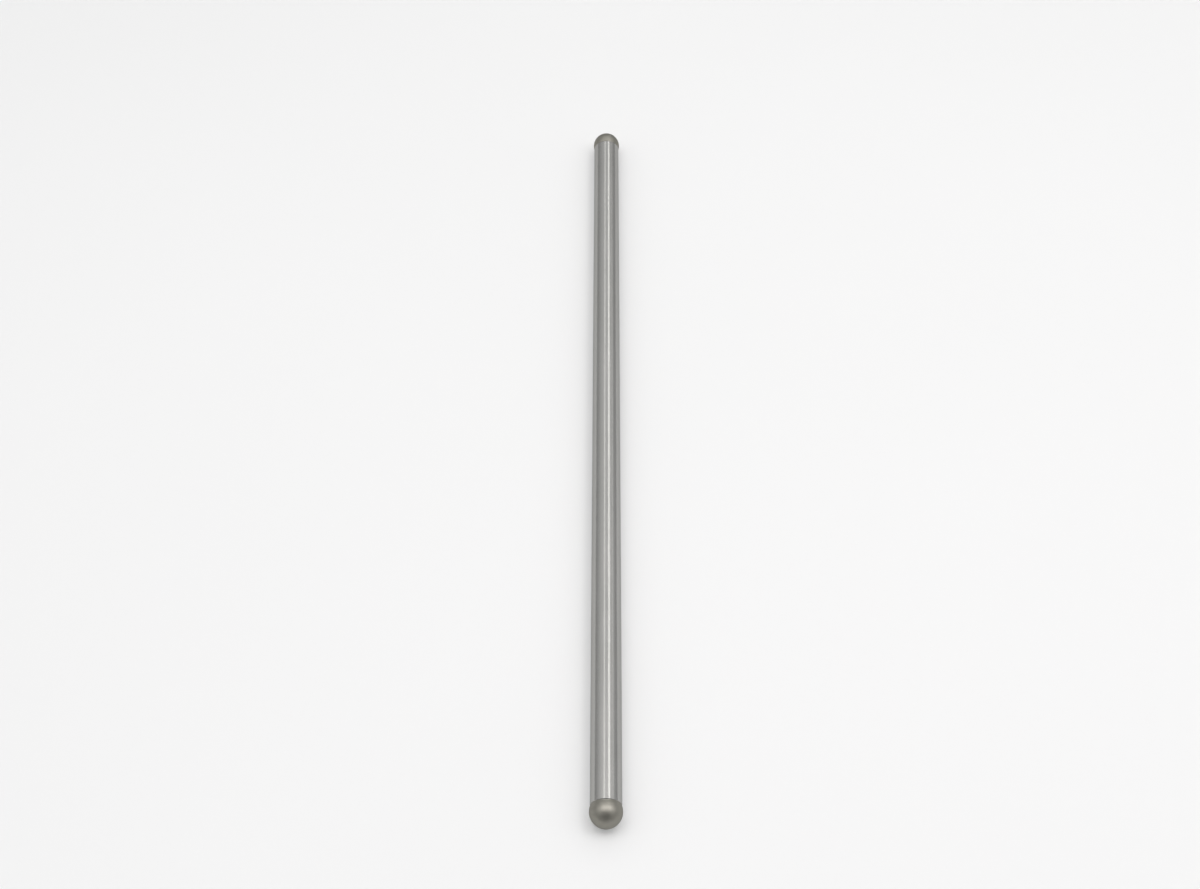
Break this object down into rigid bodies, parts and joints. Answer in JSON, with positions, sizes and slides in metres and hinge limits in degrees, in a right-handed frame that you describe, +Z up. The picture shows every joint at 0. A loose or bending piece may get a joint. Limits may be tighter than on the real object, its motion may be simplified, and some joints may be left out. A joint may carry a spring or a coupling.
{
  "type": "engine pushrod",
  "caption": "Straight steel tube pushrod with a hardened ball end pressed into each end, for overhead valve gear.",
  "frame": {"origin": "middle of the overall length, on the rod's axis", "axes": "+Y along the rod's axis, from the tappet's ball to the rocker's ball; +Z up when the rod lies flat"},
  "size_m": [0.01, 0.289, 0.01],
  "materials": {
    "ground_steel": "centreless ground, bright",
    "hardened_steel": "hardened and ground, satin"
  },
  "bodies": {
    "root": {"push_tube": "ground_steel", "tappet_ball_end": "hardened_steel", "rocker_ball_end": "hardened_steel"}
  },
  "joints": []
}
